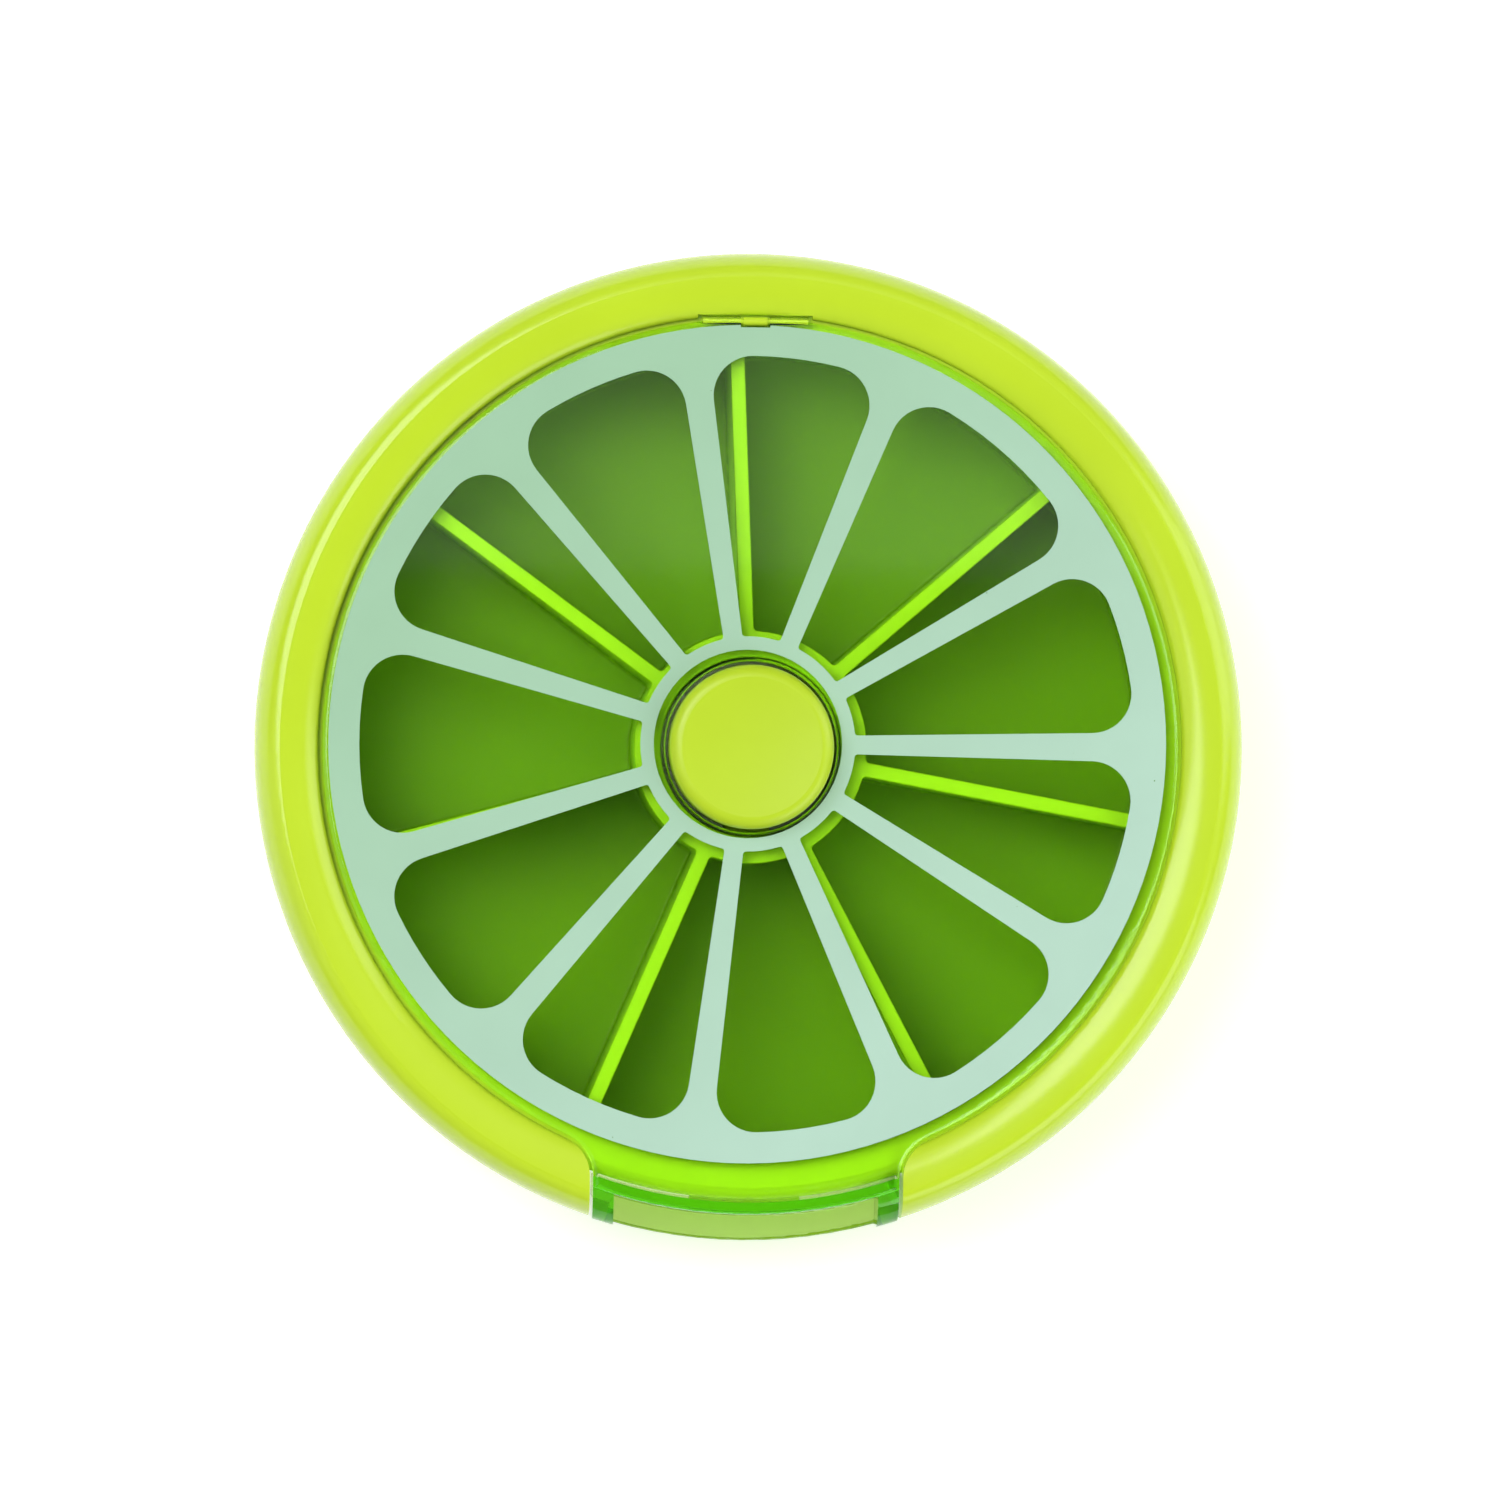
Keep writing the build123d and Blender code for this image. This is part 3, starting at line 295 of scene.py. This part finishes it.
def moulded_skin_group():
    """Group that gives a moulded face its slight change of colour and gloss, and its orange peel."""
    tree = bpy.data.node_groups.new("moulded_skin", "ShaderNodeTree")
    group_socket(tree, "Color", "NodeSocketColor", "INPUT", (0.5, 0.5, 0.5, 1))
    group_socket(tree, "Shade", "NodeSocketFloat", "INPUT", 0.04)
    group_socket(tree, "Gloss", "NodeSocketFloat", "INPUT", 0.2)
    group_socket(tree, "Gloss Change", "NodeSocketFloat", "INPUT", 0.05)
    group_socket(tree, "Peel", "NodeSocketFloat", "INPUT", 0.05)
    group_socket(tree, "Color", "NodeSocketColor", "OUTPUT")
    group_socket(tree, "Roughness", "NodeSocketFloat", "OUTPUT")
    group_socket(tree, "Normal", "NodeSocketVector", "OUTPUT")
    entry = tree.nodes.new("NodeGroupInput")
    leave = tree.nodes.new("NodeGroupOutput")
    place = object_place(tree)

    flow = noise(tree, place, FLOW_SCALE, FLOW_DETAIL)
    flow.inputs["Roughness"].default_value = FLOW_ROUGHNESS
    darkest = calculated(tree, "SUBTRACT", 1, entry.outputs["Shade"])
    tint = tree.nodes.new("ShaderNodeVectorMath")
    tint.operation = "SCALE"
    tree.links.new(entry.outputs["Color"], tint.inputs[0])
    tree.links.new(spread(tree, flow.outputs["Fac"], FLOW_RANGE, (darkest, 1)), tint.inputs["Scale"])
    tree.links.new(tint.outputs[0], leave.inputs["Color"])

    wander = noise(tree, place, GLOSS_SCALE, GLOSS_DETAIL)
    change = calculated(tree, "MULTIPLY", wander.outputs["Fac"], entry.outputs["Gloss Change"])
    gloss = calculated(tree, "ADD", change, entry.outputs["Gloss"])
    tree.links.new(gloss, leave.inputs["Roughness"])

    peel = noise(tree, place, PEEL_SCALE, PEEL_DETAIL)
    relief = tree.nodes.new("ShaderNodeBump")
    relief.inputs["Distance"].default_value = PEEL_DEPTH
    tree.links.new(entry.outputs["Peel"], relief.inputs["Strength"])
    tree.links.new(peel.outputs["Fac"], relief.inputs["Height"])
    tree.links.new(relief.outputs["Normal"], leave.inputs["Normal"])
    return tree


moulded_skin = moulded_skin_group()
print("nodes in the skin:", len(moulded_skin.nodes))

# %% [markdown]
# ## Opaque plastic
# The case, tray and button are the same kind of opaque lime plastic. The skin feeds the shader's
# colour, roughness and normal, and everything that is the same all over a piece is set on the
# shader's own sockets.

# %% Opaque plastic
PLASTIC_IOR = 1.5


def skinned(name, shade, gloss, gloss_change, peel):
    """New material whose roughness and normal come from the skin, with its shader and its skin."""
    paint = bpy.data.materials.new(name)
    paint.use_nodes = True
    tree = paint.node_tree
    shader = tree.nodes["Principled BSDF"]
    skin = tree.nodes.new("ShaderNodeGroup")
    skin.node_tree = moulded_skin
    skin.inputs["Shade"].default_value = shade
    skin.inputs["Gloss"].default_value = gloss
    skin.inputs["Gloss Change"].default_value = gloss_change
    skin.inputs["Peel"].default_value = peel
    tree.links.new(skin.outputs["Roughness"], shader.inputs["Roughness"])
    tree.links.new(skin.outputs["Normal"], shader.inputs["Normal"])
    return paint, shader, skin


def plastic(name, colour, gloss, gloss_change=0.05, shade=0.04, peel=0.05):
    """Opaque moulded plastic of this colour, plain or another node's, with its roughness as gloss."""
    paint, shader, skin = skinned(name, shade, gloss, gloss_change, peel)
    put(paint.node_tree, skin.inputs["Color"], colour)
    paint.node_tree.links.new(skin.outputs["Color"], shader.inputs["Base Color"])
    shader.inputs["IOR"].default_value = PLASTIC_IOR
    return paint


def dress(node_name, paint):
    """Gives every material slot of a node this finish."""
    node = nodes[node_name]
    if not node.material_slots:
        node.data.materials.append(paint)
    for held in node.material_slots:
        held.material = paint
    print(node_name, "wears", paint.name)


# %% Case, button and the sliding pieces
CASE_LIME = (0.60, 0.83, 0.03, 1)
BUTTON_LIME = (0.55, 0.77, 0.02, 1)
NATURAL_WHITE = (0.78, 0.78, 0.73, 1)

case_plastic = plastic("case_plastic", CASE_LIME, gloss=0.16)
button_plastic = plastic("button_plastic", BUTTON_LIME, gloss=0.34, peel=0.1)
slider_plastic = plastic("slider_plastic", NATURAL_WHITE, gloss=0.45, peel=0.1)
for node_name in ("upper_case", "lower_case", "hinge_pin"):
    dress(node_name, case_plastic)
dress("button_cap", button_plastic)
for node_name in ("drive_hub", "pawl_ring", "button_stem"):
    dress(node_name, slider_plastic)

# %% [markdown]
# ## The tray
# The tray's walls are bright at their top edges and the floors of its cells are much deeper in
# colour: that is painted shade, darker down in the deep cells where less light reaches. The colour
# follows the height in the tray for that.

# %% Tray
TRAY_TOP_LIME = (0.62, 0.86, 0.02, 1)
TRAY_PAINTED_SHADE_GREEN = (0.20, 0.36, 0.002, 1)
PAINTED_SHADE_TOP_GAP = 0.0005

tray_plastic = plastic("tray_plastic", TRAY_TOP_LIME, gloss=0.3)
tray_tree = tray_plastic.node_tree
tray_low, tray_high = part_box("tray")
painted_shade_heights = (tray_low[2], tray_high[2] - PAINTED_SHADE_TOP_GAP)
# The deep green is painted shade on the cell floors, fading into the plain lime at the wall tops.
tray_shade_fade = spread(tray_tree, object_height(tray_tree), painted_shade_heights, interpolation="SMOOTHSTEP")
tray_skin = next(node for node in tray_tree.nodes if node.type == "GROUP")
tray_colour_with_painted_shade = blended(tray_tree, tray_shade_fade, TRAY_PAINTED_SHADE_GREEN, TRAY_TOP_LIME)
tray_tree.links.new(tray_colour_with_painted_shade, tray_skin.inputs["Color"])
dress("tray", tray_plastic)
print("the tray's colour deepens from", [round(1000 * height, 2) for height in painted_shade_heights], "mm")

# %% [markdown]
# ## Clear green plastic
# The lid is tinted through and through, so its colour deepens with the length that the light goes
# in it: pale across the plate, vivid along the skirt and the gussets. A tint on the surface can't
# do that, so the green is an absorption in the volume. The thumb tab is a little darker besides:
# that is painted shade, a tint of the surface by height, for the shade that lies under the tab.
# Rays from the lamps pass straight through, or the cells below would be black.

# %% Lid
LID_DEPTH_COLOUR = (0.67, 0.94, 0.2, 1)
LID_DEPTH_DENSITY = 720
LID_IOR = 1.49
TAB_PAINTED_SHADE = (0.66, 0.75, 0.36, 1)

lid_low, lid_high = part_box("lid")
lid_height = lid_high[2] - lid_low[2]
tab_shade_heights = (lid_low[2] + lid_height / 3, lid_low[2] + lid_height / 2)
lid_plastic, lid_shader, lid_skin = skinned(
    "lid_plastic", shade=0.04, gloss=0.02, gloss_change=0.03, peel=0.04
)
lid_tree = lid_plastic.node_tree
# The thumb tab's darker tint is painted shade, for the shade that lies under the tab.
tab_shade_rise = spread(lid_tree, object_height(lid_tree), tab_shade_heights)
lid_tree.links.new(blended(lid_tree, tab_shade_rise, TAB_PAINTED_SHADE, (1, 1, 1, 1)), lid_shader.inputs["Base Color"])
lid_shader.inputs["Transmission Weight"].default_value = 1
lid_shader.inputs["IOR"].default_value = LID_IOR

# %% Light through the lid
lamp_path = lid_tree.nodes.new("ShaderNodeLightPath")
open_way = lid_tree.nodes.new("ShaderNodeBsdfTransparent")
choose = lid_tree.nodes.new("ShaderNodeMixShader")
lid_tree.links.new(lamp_path.outputs["Is Shadow Ray"], choose.inputs["Fac"])
lid_tree.links.new(lid_shader.outputs[0], choose.inputs[1])
lid_tree.links.new(open_way.outputs[0], choose.inputs[2])
depth = lid_tree.nodes.new("ShaderNodeVolumeAbsorption")
depth.inputs["Color"].default_value = LID_DEPTH_COLOUR
depth.inputs["Density"].default_value = LID_DEPTH_DENSITY
lid_output = lid_tree.nodes["Material Output"]
lid_tree.links.new(choose.outputs[0], lid_output.inputs["Surface"])
lid_tree.links.new(depth.outputs[0], lid_output.inputs["Volume"])
dress("lid", lid_plastic)

# %% [markdown]
# ## Printed ink
# The slice is screen-printed in a pale mint ink that lies on the lid as a thin layer. Its colour is
# painted darker and greener at the upper left and paler at the lower right: a painted gradient of
# light, brighter towards the lower right. Such a print also has pinholes, where the mesh of the
# screen let no ink through and the green shows. A cell texture gives each pinhole a place, and a
# soft noise keeps them to some regions, as they come in real ink.

# %% Ink with a painted gradient of light
INK_SHADED_SIDE = (0.37, 0.63, 0.41, 1)
INK_LIT_SIDE = (0.50, 0.745, 0.60, 1)
INK_BRIGHTENS_TOWARDS = math.radians(-50)
INK_REACH = 0.8

ink = plastic("print_ink", INK_LIT_SIDE, gloss=0.42, shade=0.05, peel=0.2)
ink_tree = ink.node_tree
ink_place = object_place(ink_tree)
across_print = ink_tree.nodes.new("ShaderNodeVectorMath")
across_print.operation = "DOT_PRODUCT"
across_print.inputs[1].default_value = (math.cos(INK_BRIGHTENS_TOWARDS), math.sin(INK_BRIGHTENS_TOWARDS), 0)
ink_tree.links.new(ink_place, across_print.inputs[0])
print_low, print_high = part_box("slice_print")
ink_reach = INK_REACH * print_high[0]
# The blend between the two ink colours is a painted gradient of light, brighter to the lower right.
ink_painted_light_share = spread(ink_tree, across_print.outputs["Value"], (-ink_reach, ink_reach))
ink_with_painted_light = blended(ink_tree, ink_painted_light_share, INK_SHADED_SIDE, INK_LIT_SIDE)
print("the print is", round(1000 * (print_high[0] - print_low[0]), 1), "mm wide")

# %% Pinholes
PINHOLE_COLOUR = (0.12, 0.32, 0.06, 1)
PINHOLE_SPACING = 0.0021
PINHOLE_RADIUS = 0.00009
PINHOLE_REGION_SCALE = 160
PINHOLE_REGIONS = (0.5, 0.72)

dots = ink_tree.nodes.new("ShaderNodeTexVoronoi")
dots.inputs["Scale"].default_value = 1 / PINHOLE_SPACING
ink_tree.links.new(ink_place, dots.inputs["Vector"])
regions = ink_tree.nodes.new("ShaderNodeTexNoise")
regions.inputs["Scale"].default_value = PINHOLE_REGION_SCALE
ink_tree.links.new(ink_place, regions.inputs["Vector"])
largest = PINHOLE_RADIUS / PINHOLE_SPACING
hole_size = spread(ink_tree, regions.outputs["Fac"], PINHOLE_REGIONS, (0, largest))
hole = calculated(ink_tree, "LESS_THAN", dots.outputs["Distance"], hole_size)
ink_skin = next(node for node in ink_tree.nodes if node.type == "GROUP")
ink_tree.links.new(blended(ink_tree, hole, ink_with_painted_light, PINHOLE_COLOUR), ink_skin.inputs["Color"])
dress("slice_print", ink)

# %% [markdown]
# ## Steel
# Screws, washer, clip and springs are plain bright steel, a little uneven in its gloss. They are
# hidden in the closed case, and show when it is taken apart.

# %% Steel
def steel(name, colour, roughness):
    """Bright steel of this colour."""
    paint, shader, skin = skinned(name, shade=0.08, gloss=roughness, gloss_change=0.12, peel=0.1)
    skin.inputs["Color"].default_value = colour
    paint.node_tree.links.new(skin.outputs["Color"], shader.inputs["Base Color"])
    shader.inputs["Metallic"].default_value = 1
    return paint


screw_steel = steel("screw_steel", (0.62, 0.62, 0.63, 1), 0.24)
spring_steel = steel("spring_steel", (0.5, 0.5, 0.52, 1), 0.2)
for node_name in ("case_screws", "stop_washer", "stop_screw"):
    dress(node_name, screw_steel)
for node_name in ("return_spring", "detent_spring", "retaining_clip"):
    dress(node_name, spring_steel)

# %% [markdown]
# ## The return spring
# The coil under the button is the one piece here that has to change its shape: it shortens as the
# button goes down. Its CAD solid is stiff, so a copy of it stands in its place. The copy's points
# are merged first, because a CAD mesh comes as loose triangles.

# %% A copy of the spring
MERGE_DISTANCE = 0.000001

spring_mesh = nodes["return_spring"].data.copy()
spring_mesh.name = "button_spring"
spring_bm = bmesh.new()
spring_bm.from_mesh(spring_mesh)
bmesh.ops.remove_doubles(spring_bm, verts=spring_bm.verts, dist=MERGE_DISTANCE)
spring_bm.to_mesh(spring_mesh)
spring_bm.free()
button_spring = bpy.data.objects.new("button_spring", spring_mesh)
bpy.context.scene.collection.objects.link(button_spring)
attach(button_spring, "case")
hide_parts("return_spring")
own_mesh(button_spring)

# %% [markdown]
# ## Finish
# The view transform is the plain one.

# %% Finish
bpy.context.scene.view_settings.view_transform = "Standard"
